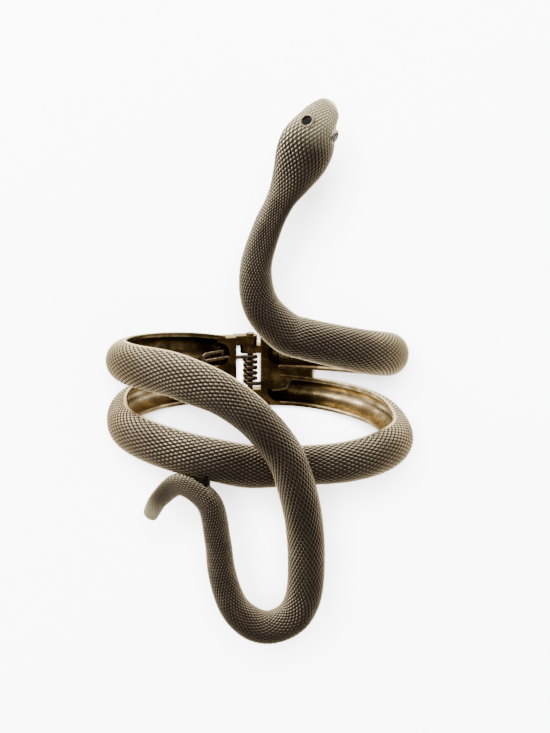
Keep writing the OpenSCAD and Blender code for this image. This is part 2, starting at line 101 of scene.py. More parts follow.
# Hinge and spring
HINGE_H = 20.8
HINGE_BAND_W = 9.6
BLOCK_GAP = 7.2
GAP_SHIFT = 0.7
BLOCK_L = 5.7
END_WALL = 1.9
BLOCK_R = 2.2
KNUCKLE_D = 4.0
INNER_REACH = 3.0
LOWER_ROOM = 1.0
OUTER_KNUCKLE = 2.9
INNER_KNUCKLE = 2.3
KNUCKLE_GAP = 0.12
PIN_D = 1.6
PIN_FIT = 0.06
SLOT_X = 19.0
WIRE_R = 0.575
COIL_R = 1.675
COIL_GAP = 0.4
COILS = 5
LEG_L = 14.0
RIGHT_LEG_L = 11.0
LEG_W = 2.1
LEG_LEAN = 0.12
RIGHT_LEG_LEAN = 0.15
LIP_T = 0.9
LEG_STUB = 1.2
LEG_FIT = 0.25
COIL_HALF = HINGE_H / 2 - OUTER_KNUCKLE - KNUCKLE_GAP - INNER_KNUCKLE - COIL_GAP - WIRE_R
HINGE_RISE = (HINGE_H - HINGE_BAND_W) / 2
LEG_Z = pin_z + COIL_R
SLOT_TURN = 180 - math.degrees(math.asin(SLOT_X / (CUFF_D / 2)))

# Scales: a net of rounded diamonds, so many across the outside of a strand, each with GRID by GRID faces.
# The section's outline lies at MEAN_DOME of their height, and they are flatter where a strand is thinner
# than FULL_RELIEF_T.
SCALE_COLUMNS = 15
HEAD_COLUMNS = 17
SCALE_LENGTH = 2.07
SCALE_HEIGHT = 0.24
MEAN_DOME = 0.75
FULL_RELIEF_T = 3.0
GRID = 4

# Strands: the station where they leave the hinge blocks, the least room before the last ring, the share of
# a round end that has rings, and the rounding of the rims with the angles of its points
BAND_START = 0.25
RING_ROOM = 0.05
TIP_SHARE = 0.998
RIM_BEVEL = 0.3
RIM_CORNER = np.radians([30, 60, 90])

# Hinge block: rounding of its edges, height over the oval, length of its channels' round ends, and the turn
# where the web between the bands starts
BLOCK_BEVEL = 0.3
BLOCK_PROUD = 0.03
SCOOP_L = 3.2
WEB_START = 172.0

# Lip over the right leg: its edge as distance from the pin and rise, its other side and its rounding
LIP_EDGE = [(4.0, -5.5), (5.9, -5.4), (8.0, -5.1), (10.0, -4.5), (11.0, -3.8), (12.3, -2.7), (13.4, -1.9)]
LIP_FOOT = -1.6
LIP_BEVEL = 0.25

# Tables of sections. The columns are turn, share of the rise, share of the lift, share of the width,
# share of the thickness, and back: 1 for an open channel, down to -1 for a fully round back. The neck
# and the head have a seventh column, the share of the head's roll.
UPPER_LEFT = [
    (-170, 0.00, 0.00, 0.86, 0.97, 1.00),
    (-150, 0.12, 0.00, 0.98, 1.00, 1.00),
    (-125, 0.30, 0.00, 1.00, 1.00, 1.00),
    (-100, 0.53, 0.00, 1.00, 1.00, 1.00),
    (-75, 0.81, 0.00, 1.03, 1.00, 1.00),
    (-50, 0.94, 0.04, 1.08, 1.00, 1.00),
    (-33, 0.81, 0.42, 1.08, 1.00, 1.00),
    (-19, 0.52, 0.74, 0.98, 1.00, 1.00),
]
TAIL = [
    (-5.7, -0.083, 1.00, 0.91, 1.00, 1.00),
    (5.9, 0.083, 1.00, 0.91, 0.98, 1.00),
    (11.9, 0.275, 1.00, 0.92, 0.95, 0.90),
    (15.2, 0.475, 0.86, 0.90, 0.91, -0.25),
    (15.7, 0.685, 0.76, 0.88, 0.87, -0.80),
    (13.7, 0.795, 0.72, 0.86, 0.86, -0.86),
    (8.8, 0.867, 0.69, 0.84, 0.85, -0.90),
    (-0.3, 0.903, 0.68, 0.81, 0.82, -0.92),
    (-9.2, 0.880, 0.66, 0.80, 0.78, -0.92),
    (-17.2, 0.795, 0.65, 0.72, 0.72, -0.92),
    (-22.0, 0.645, 0.62, 0.67, 0.66, -0.92),
    (-24.0, 0.480, 0.60, 0.63, 0.62, -0.92),
    (-27.8, 0.310, 0.56, 0.62, 0.57, -0.92),
    (-39.8, 0.236, 0.52, 0.54, 0.48, -0.92),
    (-49.6, 0.318, 0.48, 0.46, 0.40, -0.92),
    (-55.0, 0.410, 0.46, 0.39, 0.34, -0.92),
    (-56.1, 0.428, 0.46, 0.24, 0.21, -0.92),
]
LOWER_LEFT = [
    (-170, 0.00, 0, 0.84, 0.97, 1),
    (-150, -0.33, 0, 0.81, 1.00, 1),
    (-120, -0.46, 0, 0.90, 1.00, 1),
    (-90, -0.24, 0, 1.00, 1.00, 1),
    (-60, -0.29, 0, 1.06, 1.00, 1),
    (-30, 0.38, 0, 1.06, 0.96, 1),
    (-12, 0.90, 0, 1.08, SEAM_SHARE + 0.03, 1),
    (SEAM_TURN - SEAM_HALF, 1.00, 0, 1.03, SEAM_SHARE, 1),
]
LOWER_RIGHT = [
    (170, 0.00, 0, 0.84, 0.97, 1),
    (150, 0.19, 0, 0.81, 1.00, 1),
    (120, 0.63, 0, 0.87, 1.00, 1),
    (90, 1.10, 0, 1.00, 1.00, 1),
    (60, 1.03, 0, 1.07, 1.00, 1),
    (36, 1.08, 0, 1.01, 0.95, 1),
    (18, 1.00, 0, 0.99, SEAM_SHARE + 0.01, 1),
    (SEAM_TURN + SEAM_HALF, 1.00, 0, 1.03, SEAM_SHARE, 1),
]
UPPER_RIGHT = [
    (170, 0.00, 0.00, 0.86, 0.97, 1.00),
    (150, 0.02, -0.05, 0.93, 1.00, 1.00),
    (125, 0.08, -0.25, 0.98, 1.00, 1.00),
    (100, 0.26, -0.45, 1.04, 1.00, 1.00),
    (76, 0.47, -0.40, 1.05, 1.00, 1.00),
    (51, 0.69, -0.05, 1.05, 1.00, 1.00),
    (33, 0.86, 0.00, 1.00, 1.00, 1.00),
    (18, 0.99, 0.05, 0.98, 1.00, 1.00),
]
NECK = [
    (7.2, 0.316, 0.10, 1.51, 1.10, 0.90, 0.0),
    (-4.4, 0.398, 0.30, 1.35, 1.02, 0.40, 0.0),
    (-7.0, 0.508, 0.50, 1.16, 0.90, -0.50, 0.2),
    (-2.2, 0.626, 0.75, 1.05, 0.82, -0.85, 0.5),
    (3.8, 0.714, 0.90, 1.03, 0.84, -0.85, 0.8),
]
HEAD = [
    (8.3, 0.773, 1.00, 0.78, 0.94, -0.74, 1.0),
    (12.5, 0.832, 1.00, 1.06, 1.00, -0.70, 1.0),
    (15.8, 0.888, 0.97, 1.09, 1.00, -0.66, 1.0),
    (20.1, 0.940, 0.88, 0.80, 0.90, -0.66, 1.0),
    (24.5, 0.975, 0.78, 0.54, 0.70, -0.70, 1.0),
    (27.2, 0.992, 0.72, 0.33, 0.48, -0.70, 1.0),
]


def unit(v):
    return v / np.linalg.norm(v, axis=-1, keepdims=True)


def circle(count):
    """So many angles evenly round a circle."""
    return np.linspace(0, 2 * math.pi, count + 1)[:-1]


def fade(x, low, high):
    """0 below low, 1 above high, smooth between."""
    t = np.clip((x - low) / (high - low), 0, 1)
    return t * t * (3 - 2 * t)


# The cuff's oval and the strands' paths

def oval_r(turn, a, b):
    t = np.radians(turn)
    return (abs(np.sin(t) / a) ** OVAL_POWER + abs(np.cos(t) / b) ** OVAL_POWER) ** (-1 / OVAL_POWER)


def place(turn, rise, lift):
    """Points in millimetres at turns, rises and lifts."""
    turn, rise, lift = np.broadcast_arrays(np.asarray(turn, float), rise, lift)
    r = oval_r(turn, CUFF_W / 2 - BODY_T + lift, CUFF_D / 2 - BODY_T + lift)
    t = np.radians(turn)
    return np.stack([r * np.sin(t), rise + hinge_y, CUFF_D / 2 + r * np.cos(t)], -1)


def outward(turn):
    a, b = CUFF_W / 2 - BODY_T, CUFF_D / 2 - BODY_T
    p = place(turn, 0, 0) - (0, hinge_y, CUFF_D / 2)
    power = OVAL_POWER - 1
    x = np.sign(p[..., 0]) * abs(p[..., 0]) ** power / a ** OVAL_POWER
    z = np.sign(p[..., 2]) * abs(p[..., 2]) ** power / b ** OVAL_POWER
    return unit(np.stack([x, np.zeros_like(x), z], -1))


def sized(table, low, high, lift, width, depth):
    """Rows of a table in millimetres and degrees."""
    return [
        (r[0], low + (high - low) * r[1], lift * r[2], width * r[3], depth * r[4], r[5],
         HEAD_ROLL * r[6] if len(r) > 6 else 0)
        for r in table
    ]


def rows_at(rows, u):
    """Rows at stations u, on a smooth curve through the table's rows."""
    rows, u = np.asarray(rows, float), np.asarray(u, float)
    padded = np.vstack([2 * rows[0] - rows[1], rows, 2 * rows[-1] - rows[-2]])
    i = np.minimum(u.astype(int), len(rows) - 2)
    f = (u - i)[..., None]
    p0, p1, p2, p3 = (padded[i + k] for k in range(4))
    return (2 * p1 + (p2 - p0) * f + (2 * p0 - 5 * p1 + 4 * p2 - p3) * f ** 2
            + (3 * p1 - p0 - 3 * p2 + p3) * f ** 3) / 2


def points_at(rows, u):
    r = rows_at(rows, u)
    return place(r[..., 0], r[..., 1], r[..., 2])


def frames_at(rows, u):
    """Points, directions across, along and out, and rows, at stations u."""
    small = 0.01
    u = np.asarray(u, float)
    r = rows_at(rows, u)
    after, before = np.minimum(u + small, len(rows) - 1), np.maximum(u - small, 0)
    along = unit(points_at(rows, after) - points_at(rows, before))
    out = outward(r[..., 0])
    level = unit(out - along * (along * out).sum(-1, keepdims=True))
    roll = np.radians(r[..., 6:7])
    out = level * np.cos(roll) + np.cross(along, level) * np.sin(roll)
    return points_at(rows, u), np.cross(along, out), along, out, r


def station_back(rows, distance):
    """Station at a distance back from the end of a list of rows."""
    u = len(rows) - 1.0
    while distance > 0:
        distance -= np.linalg.norm(points_at(rows, u) - points_at(rows, u - 0.1))
        u -= 0.1
    return u


upper_left_rows = sized(UPPER_LEFT, HINGE_RISE, LEFT_RISE, CROSS_LIFT, BODY_W, BODY_T)
tail_rows = upper_left_rows + sized(TAIL, 0, -LOOP_DROP, CROSS_LIFT, BODY_W, BODY_T)
lower_left_rows = sized(LOWER_LEFT, -HINGE_RISE, -SEAM_DROP, 0, BODY_W, BODY_T)
lower_right_rows = sized(LOWER_RIGHT, -HINGE_RISE, -SEAM_DROP, 0, BODY_W, BODY_T)
upper_right_rows = sized(UPPER_RIGHT, HINGE_RISE, RIGHT_RISE, HEAD_LIFT, BODY_W, BODY_T)
head_rows = (upper_right_rows + sized(NECK, 0, HEAD_REACH, HEAD_LIFT, NECK_W, HEAD_T)
             + sized(HEAD, 0, HEAD_REACH, HEAD_LIFT, HEAD_W, HEAD_T))


# Meshes

def mesh_object(name, points, faces):
    """Smooth object from points in millimetres."""
    mesh = bpy.data.meshes.new(name)
    mesh.from_pydata((np.asarray(points) * MM).tolist(), [], [list(map(int, f)) for f in faces])
    mesh.polygons.foreach_set("use_smooth", [True] * len(mesh.polygons))
    mesh.update()
    obj = bpy.data.objects.new(name, mesh)
    bpy.context.scene.collection.objects.link(obj)
    return obj


def add_attribute(mesh, name, values):
    mesh.attributes.new(name, "FLOAT", "POINT").data.foreach_set("value", np.asarray(values, np.float32))


def turn_faces_out(mesh):
    shape = bmesh.new()
    shape.from_mesh(mesh)
    bmesh.ops.recalc_face_normals(shape, faces=shape.faces)
    shape.to_mesh(mesh)
    shape.free()


def quads(grid):
    """Faces between neighbours of a grid of point numbers."""
    a, b, c, d = grid[:-1, :-1], grid[:-1, 1:], grid[1:, 1:], grid[1:, :-1]
    return np.stack([a, b, c, d], -1).reshape(-1, 4)


def scale_triangles(grid):
    """Triangles of a grid of point numbers, with their diagonals along the grooves between the scales."""
    a, b, c, d = grid[:-1, :-1], grid[:-1, 1:], grid[1:, 1:], grid[1:, :-1]
    i, j = np.indices(a.shape)
    rising = (i - j) % GRID == GRID // 2
    first = np.where(rising[..., None], np.stack([a, b, c], -1), np.stack([a, b, d], -1))
    second = np.where(rising[..., None], np.stack([a, c, d], -1), np.stack([b, c, d], -1))
    return np.concatenate([first.reshape(-1, 3), second.reshape(-1, 3)])


def stitch(fine, coarse):
    """Triangles between a fine row of point numbers and a coarse one that runs the same way."""
    ratio = (len(fine) - 1) // (len(coarse) - 1)
    faces = []
    for k in range(len(coarse) - 1):
        steps = range(k * ratio, (k + 1) * ratio)
        half = k * ratio + ratio // 2
        faces += [(fine[s], fine[s + 1], coarse[k] if s < half else coarse[k + 1]) for s in steps]
        faces.append((coarse[k], fine[half], coarse[k + 1]))
    return faces


def arc_angles(half, depth, start, count):
    """Angles over a half ellipse, evenly spaced along it, from start to its mirror image."""
    f = np.linspace(start, math.pi - start, 65)
    x, z = half * np.cos(f), depth * np.sin(f)
    run = np.concatenate([[0], np.cumsum(np.hypot(np.diff(x), np.diff(z)))])
    return np.interp(np.linspace(0, run[-1], count + 1), run, f)


def dome(u, v):
    """Height of the scales, 0 in the grooves and 1 on the crowns."""
    height = 1.0
    for w in (u + v, u - v):
        groove = 2 * abs((w + 0.5) % 1 - 0.5)
        height = height * (1 - groove ** 2)
    return height


def ring_stations(rows, round_end, wide):
    """Where the rings of a strand lie: their stations, their run along it in millimetres and in scales, and
    the strand's length."""
    u = np.linspace(BAND_START, len(rows) - 1, 4000)
    p, _, _, _, r = frames_at(rows, u)
    run = np.concatenate([[0], np.cumsum(np.linalg.norm(np.diff(p, axis=0), axis=1))])
    girth = np.maximum(r[:, 3] + 2 * r[:, 4], 1.0) / (BODY_W + 2 * BODY_T)
    scale_length = SCALE_LENGTH * SCALE_COLUMNS / wide * np.sqrt(girth[1:])
    scales_run = np.concatenate([[0], np.cumsum(np.diff(run) / scale_length)])
    reach = run[-1] - round_end
    count = int(np.interp(reach, run, scales_run) * GRID)
    ring_run = np.interp(np.arange(count + 1) / GRID, scales_run, run)
    ring_run = np.append(ring_run[ring_run < reach - RING_ROOM], reach)
    if round_end:
        bend = np.linspace(0, math.pi / 2, 9)[1:]
        ring_run = np.append(ring_run, reach + round_end * np.sin(bend) * TIP_SHARE)
    return np.interp(ring_run, run, u), ring_run, np.interp(ring_run, run, scales_run), run[-1]


def strand_faces(shell, inner, channel_rings):
    """Faces with scales and faces without, from the point numbers of a strand's rings, outside and inside.
    The rings' insides have fewer points in the open channel than in the closed part after it."""
    shell = np.array(shell)
    rounded = len(RIM_CORNER)
    outside = shell[:, rounded:-rounded]
    scaled = scale_triangles(outside)
    plain = np.concatenate([quads(shell[:, :rounded + 1]), quads(shell[:, -rounded - 1:])]).tolist()
    for low, high in ((0, channel_rings), (channel_rings, len(shell))):
        if high - low < 2:
            continue
        grid = np.array(inner[low:high])
        plain += quads(np.hstack([shell[low:high, -1:], grid[:, :2]])).tolist()
        plain += quads(np.hstack([grid[:, -2:], shell[low:high, :1]])).tolist()
        if low == 0 and channel_rings:
            plain += quads(grid[:, 1:-1]).tolist()
        else:
            scaled = np.concatenate([scaled, scale_triangles(grid[:, 1:-1])])
    if 0 < channel_rings < len(shell):
        i = channel_rings
        plain += stitch(inner[i][1:-1], inner[i - 1][1:-1])
        plain += quads(np.array([[shell[k, -1], *inner[k][:2]] for k in (i - 1, i)])).tolist()
        plain += quads(np.array([[*inner[k][-2:], shell[k, 0]] for k in (i - 1, i)])).tolist()
    for k in (0, len(shell) - 1):
        if len(inner[k]) < outside.shape[1]:
            plain += stitch(outside[k], inner[k][1:-1][::-1])
            plain.append([*shell[k, -rounded - 1:], *inner[k][:2]])
            plain.append([*inner[k][-2:], *shell[k, :rounded + 1]])
        else:
            plain.append([*shell[k], *inner[k]])
    return scaled.tolist(), plain


def strand(name, rows, round_end=0.0, wide=SCALE_COLUMNS, pale_end=0.0):
    """A strand of the snake, so many scales wide: scales outside, a smooth channel inside where its back
    is open, and a rounded end if round_end is its length in millimetres. The last pale_end millimetres
    are rubbed pale."""
    ring_u, ring_run, ring_period, length = ring_stations(rows, round_end, wide)
    p, across, _, out, r = frames_at(rows, ring_u)
    reach = length - round_end
    shrink = np.ones(len(ring_u))
    if round_end:
        shrink = np.sqrt(np.clip(1 - (np.maximum(ring_run - reach, 0) / round_end) ** 2, 0, 1))
    end_share = 0 * ring_run
    if pale_end:
        end_share = fade(ring_run, length - pale_end, length - 0.2 * pale_end)
    half, depth, back = r[:, 3] / 2 * shrink, r[:, 4] * shrink, r[:, 5]
    channel = back > 0
    channel_rings = len(ring_u) if channel.all() else int(np.argmin(channel))
    columns = wide * GRID
    v = np.arange(columns + 1) / GRID
    points, net, relief, crown, pale = [], [], [], [], []
    shell, inner = [], []

    def add(ring, x, z, net_v, amount=0.0, height=0.0):
        """Adds one row of points of a ring and returns their numbers."""
        first = sum(len(q) for q in points)
        blank = np.zeros(len(x))
        points.append(p[ring] + across[ring] * x[:, None] + out[ring] * z[:, None])
        net.append(np.stack([blank + ring_period[ring], blank + net_v], -1))
        relief.append(blank + amount)
        crown.append(blank + height)
        pale.append(blank + end_share[ring])
        return np.arange(first, first + len(x))

    for i in range(len(ring_u)):
        h, d, b = half[i], depth[i], back[i]
        open_back = i < channel_rings
        if open_back:
            rim = max(THIN_EDGE, min(WALL, 4 * WALL * b))
            inner_depth = b * (d - WALL)
        else:
            rim = THIN_EDGE * (1 - 0.85 * fade(-b, 0, 0.3))
            inner_depth = b * d
        rim = min(rim, h * 0.5)
        bevel = min(RIM_BEVEL, rim * 0.4)
        f = arc_angles(h, d, math.asin(min(0.9, bevel / d)), columns)
        end = 1 - fade(ring_run[i], reach - 0.5, reach + 0.8 * round_end) if round_end else 1
        border = fade(v, 0.1, 1.3) * fade(wide - v, 0.1, 1.3) if open_back else np.ones(columns + 1)
        amount = (1 - (1 - border) * fade(b, -0.2, 0.6)) * end
        normal = unit(np.stack([np.cos(f) / h, np.sin(f) / d], -1))
        full_lift = SCALE_HEIGHT * min(1, d / FULL_RELIEF_T)
        lift = (dome(ring_period[i], v) - MEAN_DOME) * full_lift * amount
        x, z = h * np.cos(f) + normal[:, 0] * lift, d * np.sin(f) + normal[:, 1] * lift
        rim_x, rim_z = h - bevel + bevel * np.cos(RIM_CORNER), bevel - bevel * np.sin(RIM_CORNER)
        before = add(i, rim_x[::-1], rim_z[::-1], 0)
        # The crown attribute, the sine of the angle round the section, is where the scales' material paints
        # shade on a strand's crown and sheen on its sides.
        outer = add(i, x, z, v, amount, np.sin(f))
        after = add(i, -rim_x, rim_z, wide)
        shell.append(np.concatenate([before, outer, after]))

        inside = h - rim
        inner_bevel = min(bevel, max(inner_depth, 0) * 0.5)
        begin = math.asin(inner_bevel / inner_depth) if inner_bevel > 0 else 0.0
        count_in = wide if open_back else columns
        g = arc_angles(inside, abs(inner_depth) + 1e-6, begin, count_in)[::-1]
        v_in = wide + np.arange(count_in + 1) * wide / count_in
        x, z = inside * np.cos(g), inner_depth * np.sin(g)
        amount = np.zeros(count_in + 1)
        if not open_back:
            amount = np.full(count_in + 1, fade(-b, 0.1, 0.6) * end)
            lift = (dome(ring_period[i], v_in) - MEAN_DOME) * full_lift * amount
            normal = unit(np.stack([np.cos(g) / inside, np.sin(g) / min(inner_depth, -1e-3)], -1))
            x, z = x + normal[:, 0] * lift, z + normal[:, 1] * lift
        edge_x, edge_z = np.array([inside + inner_bevel * (1 - math.sin(math.pi / 3))]), np.zeros(1)
        left = add(i, -edge_x, edge_z, v_in[0])
        middle = add(i, x, z, v_in, amount)
        right = add(i, edge_x, edge_z, v_in[-1])
        inner.append(np.concatenate([left, middle, right]))

    scaled, plain = strand_faces(shell, inner, channel_rings)
    obj = mesh_object(name, np.concatenate(points), scaled + plain)
    mesh = obj.data
    mesh.polygons.foreach_set("material_index", [0] * len(scaled) + [1] * len(plain))
    corners = np.zeros(len(mesh.loops), int)
    mesh.loops.foreach_get("vertex_index", corners)
    corner_net = np.concatenate(net)[corners].astype(np.float32)
    mesh.uv_layers.new(name="scales").data.foreach_set("uv", corner_net.ravel())
    for attribute, values in (("relief", relief), ("crown", crown), ("pale", pale)):
        add_attribute(mesh, attribute, np.concatenate(values))
    turn_faces_out(mesh)
    return obj


# Materials

class Nodes:
    """Short ways to add nodes to a material's tree."""

    def __init__(self, name):
        self.material = bpy.data.materials.new(name)
        self.material.use_nodes = True
        self.tree = self.material.node_tree
        self.shader = self.tree.nodes["Principled BSDF"]

    def link(self, value, socket):
        if isinstance(value, bpy.types.NodeSocket):
            self.tree.links.new(value, socket)
        else:
            socket.default_value = value

    def add(self, kind, **settings):
        node = self.tree.nodes.new(kind)
        for key, value in settings.items():
            setattr(node, key, value)
        return node

    def math(self, operation, a, b=0.0):
        node = self.add("ShaderNodeMath", operation=operation)
        self.link(a, node.inputs[0])
        self.link(b, node.inputs[1])
        return node.outputs[0]

    def attribute(self, name):
        return self.add("ShaderNodeAttribute", attribute_name=name).outputs["Fac"]

    def ramp(self, value, low, high, to_low=0.0, to_high=1.0):
        node = self.add("ShaderNodeMapRange", interpolation_type="SMOOTHSTEP")
        for socket, number in zip(node.inputs, (value, low, high, to_low, to_high)):
            self.link(number, socket)
        return node.outputs[0]

    def noise(self, size, detail):
        """Noise with lumps of a size in millimetres."""
        node = self.add("ShaderNodeTexNoise")
        place_node = self.add("ShaderNodeTexCoord")
        self.link(place_node.outputs["Object"], node.inputs["Vector"])
        node.inputs["Scale"].default_value = 1 / (size * MM)
        node.inputs["Detail"].default_value = detail
        node.inputs["Roughness"].default_value = 0.55
        return node.outputs["Fac"]

    def coordinate(self, axis):
        """Distance along an axis of the cuff in millimetres."""
        parts = self.add("ShaderNodeSeparateXYZ")
        self.link(self.add("ShaderNodeTexCoord").outputs["Object"], parts.inputs[0])
        return self.math("MULTIPLY", parts.outputs[axis], 1 / MM)

    def mix(self, factor, a, b):
        node = self.add("ShaderNodeMix", data_type="RGBA")
        self.link(factor, node.inputs["Factor"])
        self.link(a, node.inputs["A"])
        self.link(b, node.inputs["B"])
        return node.outputs["Result"]

    def bump(self, height, depth, strength=1.0, normal=None):
        """Normal bent by a height of 0 to 1 that stands for a depth in millimetres."""
        node = self.add("ShaderNodeBump")
        node.inputs["Strength"].default_value = strength
        node.inputs["Distance"].default_value = depth * MM
        self.link(height, node.inputs["Height"])
        if normal is not None:
            self.link(normal, node.inputs["Normal"])
        return node.outputs["Normal"]


# Colours of the brass: scales from groove to crown, its edge tint, and the channels at the hinge and away
# from it. The channels away from the hinge take lighter copies, a painted highlight, and those at the hinge
# stay darker as painted shade.
DARK = (0.030, 0.022, 0.016, 1)
BRONZE = (0.180, 0.138, 0.096, 1)
PALE = (0.66, 0.55, 0.37, 1)
YELLOW = (0.92, 0.82, 0.54, 1)
EDGE = (0.95, 0.82, 0.60, 1)
GOLDEN = (0.22, 0.150, 0.064, 1)
UMBER = (0.050, 0.032, 0.013, 1)
# Lit copies of GOLDEN and UMBER: painted highlight along the channels away from the hinge.
PAINTED_LIT_GOLDEN = (0.80, 0.63, 0.36, 1)
PAINTED_LIT_UMBER = (0.33, 0.24, 0.115, 1)


def scale_material():
    """Antique brass over the scales: rubbed scale tops, dark grooves, and each strand's crown painted
    darker with its sides paler, painted shade and painted sheen, broken up by random cloud tone.
    """
    n = Nodes("antique_scales")
    net = n.add("ShaderNodeSeparateXYZ")
    n.link(n.add("ShaderNodeUVMap", uv_map="scales").outputs[0], net.inputs[0])
    relief = n.attribute("relief")
    crown = n.attribute("crown")
    height = 1.0
    for operation in ("ADD", "SUBTRACT"):
        w = n.math(operation, net.outputs["X"], net.outputs["Y"])
        groove = n.math("MULTIPLY", n.math("PINGPONG", w, 0.5), 2.0)
        height = n.math("MULTIPLY", height, n.math("SUBTRACT", 1.0, n.math("POWER", groove, 2.6)))
    pale = n.attribute("pale")
    grain = n.noise(0.35, 3.0)
    cloud = n.noise(9.0, 3.0)
    top = n.ramp(n.math("ADD", height, n.math("MULTIPLY", n.math("SUBTRACT", grain, 0.5), 0.5)), 0.30, 0.95)
    smooth_part = n.math("SUBTRACT", 1.0, relief)
    rubbed = n.math("MAXIMUM", top, n.ramp(smooth_part, 0.35, 0.95))
    # Painted shade and sheen: each strand's crown takes the darker BRONZE and its sides the paler PALE.
    # This stands in for the dark overhead and the bright floor mirrored in the metal, broken up by random
    # cloud tone.
    side = n.math("ADD", n.math("MULTIPLY", crown, -0.75), n.math("MULTIPLY", cloud, 0.5))
    side_sheen_and_tone = n.ramp(side, -0.55, 0.10)
    high = n.mix(n.math("MAXIMUM", side_sheen_and_tone, pale), n.mix(pale, BRONZE, PALE), n.mix(pale, PALE, YELLOW))
    groove = n.mix(pale, DARK, n.mix(0.45, DARK, YELLOW))
    n.link(n.mix(rubbed, groove, high), n.shader.inputs["Base Color"])
    n.shader.inputs["Metallic"].default_value = 1.0
    n.shader.inputs["Specular Tint"].default_value = EDGE
    n.link(n.ramp(rubbed, 0.0, 1.0, 0.55, 0.22), n.shader.inputs["Roughness"])
    shape = n.bump(n.math("MULTIPLY", height, relief), 0.15)
    n.link(n.bump(grain, 0.02, normal=shape), n.shader.inputs["Normal"])
    return n.material


def channel_material():
    """Smooth cast brass inside the channels, on the rims and at the hinge. The lower bands' channels are
    painted lighter away from the hinge, a painted highlight, and darker near it, painted shade."""
    n = Nodes("smooth_brass")
    cloud = n.noise(4.5, 4.0)
    grain = n.noise(0.5, 3.0)
    tarnish = n.ramp(cloud, 0.36, 0.66)
    # Painted highlight and shade: 1 in the lower bands' channels away from the hinge, which take the lit
    # copies, and 0 at the hinge, where the channels stay dark.
    painted_light_far = n.math("MULTIPLY", n.ramp(n.math("ABSOLUTE", n.coordinate("X")), 15.0, 30.0),
                 n.ramp(n.coordinate("Y"), hinge_y + 4.0, hinge_y - 3.0, 0.08, 1.0))
    n.link(n.mix(tarnish, n.mix(painted_light_far, UMBER, PAINTED_LIT_UMBER), n.mix(painted_light_far, GOLDEN, PAINTED_LIT_GOLDEN)),
           n.shader.inputs["Base Color"])
    n.shader.inputs["Metallic"].default_value = 1.0
    n.shader.inputs["Specular Tint"].default_value = EDGE
    n.link(n.ramp(cloud, 0.35, 0.7, 0.34, 0.22), n.shader.inputs["Roughness"])
    waves = n.bump(cloud, 0.06, 0.5)
    n.link(n.bump(grain, 0.012, normal=waves), n.shader.inputs["Normal"])
    return n.material


def rim_material():
    """Rubbed brass of the raised eye rims."""
    n = Nodes("rubbed_rim")
    grain = n.noise(0.4, 3.0)
    n.link(n.mix(n.ramp(grain, 0.3, 0.6), BRONZE, PALE), n.shader.inputs["Base Color"])
    n.shader.inputs["Metallic"].default_value = 1.0
    n.shader.inputs["Specular Tint"].default_value = EDGE
    n.link(n.ramp(grain, 0.3, 0.7, 0.36, 0.24), n.shader.inputs["Roughness"])
    n.link(n.bump(grain, 0.01), n.shader.inputs["Normal"])
    return n.material


def wire_material():
    """Drawn wire with a bronzed finish, painted darker in the coil as painted shade between the knuckles,
    and lighter on the legs as painted light.
    """
    n = Nodes("bronzed_wire")
    grain = n.noise(0.6, 3.0)
    # Painted shade and light: the coil near the pin takes the darker pair of colours, the legs the lighter
    # pair.
    leg = n.ramp(n.math("ABSOLUTE", n.coordinate("X")), 2.5, 6.0)
    low = n.mix(leg, (0.036, 0.025, 0.016, 1), (0.10, 0.068, 0.042, 1))
    high = n.mix(leg, (0.125, 0.090, 0.058, 1), (0.36, 0.27, 0.17, 1))
    n.link(n.mix(n.ramp(grain, 0.30, 0.60), low, high), n.shader.inputs["Base Color"])
    n.shader.inputs["Metallic"].default_value = 1.0
    n.shader.inputs["Specular Tint"].default_value = EDGE
    n.link(n.ramp(grain, 0.3, 0.7, 0.34, 0.24), n.shader.inputs["Roughness"])
    n.link(n.bump(grain, 0.006), n.shader.inputs["Normal"])
    return n.material


def pin_material():
    """Darkened steel of the pin."""
    n = Nodes("dark_pin")
    grain = n.noise(0.5, 3.0)
    n.link(n.mix(n.ramp(grain, 0.3, 0.7), (0.07, 0.058, 0.045, 1), (0.20, 0.16, 0.12, 1)),
           n.shader.inputs["Base Color"])
    n.shader.inputs["Metallic"].default_value = 1.0
    n.shader.inputs["Specular Tint"].default_value = EDGE
    n.link(n.ramp(grain, 0.3, 0.7, 0.45, 0.30), n.shader.inputs["Roughness"])
    return n.material


def bridge_shade_material():
    """Unpolished casting of the bridge, painted near-black: painted shade between the tail and the lower
    band.
    """
    n = Nodes("bridge_painted_shade")
    grain = n.noise(0.6, 3.0)
    n.link(n.mix(n.ramp(grain, 0.4, 0.7), (0.012, 0.009, 0.007, 1), (0.060, 0.044, 0.030, 1)),
           n.shader.inputs["Base Color"])
    n.shader.inputs["Metallic"].default_value = 1.0
    n.link(n.ramp(grain, 0.3, 0.7, 0.6, 0.42), n.shader.inputs["Roughness"])
    return n.material


def stone_material():
    """Black faceted stone."""
    n = Nodes("black_stone")
    depth = n.noise(1.2, 2.0)
    n.link(n.mix(depth, (0.0010, 0.0009, 0.0009, 1), (0.0022, 0.0020, 0.0019, 1)),
           n.shader.inputs["Base Color"])
    n.link(n.ramp(depth, 0.3, 0.7, 0.10, 0.16), n.shader.inputs["Roughness"])
    n.shader.inputs["IOR"].default_value = 1.36
    return n.material


def floor_material():
    n = Nodes("pale_floor")
    cloud = n.noise(60.0, 2.0)
    n.link(n.mix(cloud, (0.86, 0.86, 0.875, 1), (0.88, 0.88, 0.895, 1)), n.shader.inputs["Base Color"])
    n.shader.inputs["Roughness"].default_value = 0.85
    return n.material


scales = scale_material()
smooth_brass = channel_material()
rubbed_rim = rim_material()


def dress(obj, body, slot, *materials):
    """Gives a piece its materials and the body that it moves with; the slot argument is not used."""
    for material in materials:
        obj.data.materials.append(material)
    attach(obj, body)


# Hinge blocks

